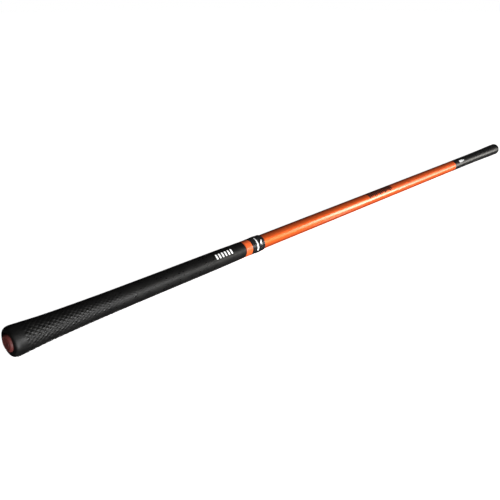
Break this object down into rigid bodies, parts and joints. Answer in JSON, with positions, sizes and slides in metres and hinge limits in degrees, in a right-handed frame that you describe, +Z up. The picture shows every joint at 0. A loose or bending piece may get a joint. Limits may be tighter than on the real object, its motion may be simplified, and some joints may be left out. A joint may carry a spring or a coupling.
{
  "type": "golf swing trainer stick",
  "caption": "Straight swing trainer stick: flared black rubber grip with an orange butt plug, glossy orange shaft and a weighted black tip boot.",
  "frame": {"origin": "centre of the flat face of the butt plug, at the grip end", "axes": "+X along the stick from the grip's butt to the tip, +Z up as the stick lies on its side, +Y completes the right-handed set"},
  "size_m": [1.092, 0.0306, 0.0306],
  "materials": {
    "grip_rubber": "satin black moulded rubber with a raised diagonal weave pattern",
    "tape": "matt double-sided crepe tape",
    "plug_plastic": "semi-gloss red-orange moulded plastic",
    "shaft_lacquer": "high-gloss pearl orange lacquer on glass fibre",
    "band_plastic": "gloss orange plastic",
    "collar_plastic": "gloss black plastic",
    "boot_rubber": "smooth semi-gloss black rubber",
    "slug_steel": "turned bar steel",
    "bung_rubber": "matt dark rubber"
  },
  "bodies": {
    "root": {"grip_sleeve": "grip_rubber", "grip_tape": "tape", "butt_plug": "plug_plastic", "shaft_tube": "shaft_lacquer", "band_ring": "band_plastic", "collar": "collar_plastic", "tip_boot": "boot_rubber", "tip_weight": "slug_steel", "weight_stop": "bung_rubber", "end_bung": "bung_rubber"}
  },
  "joints": []
}
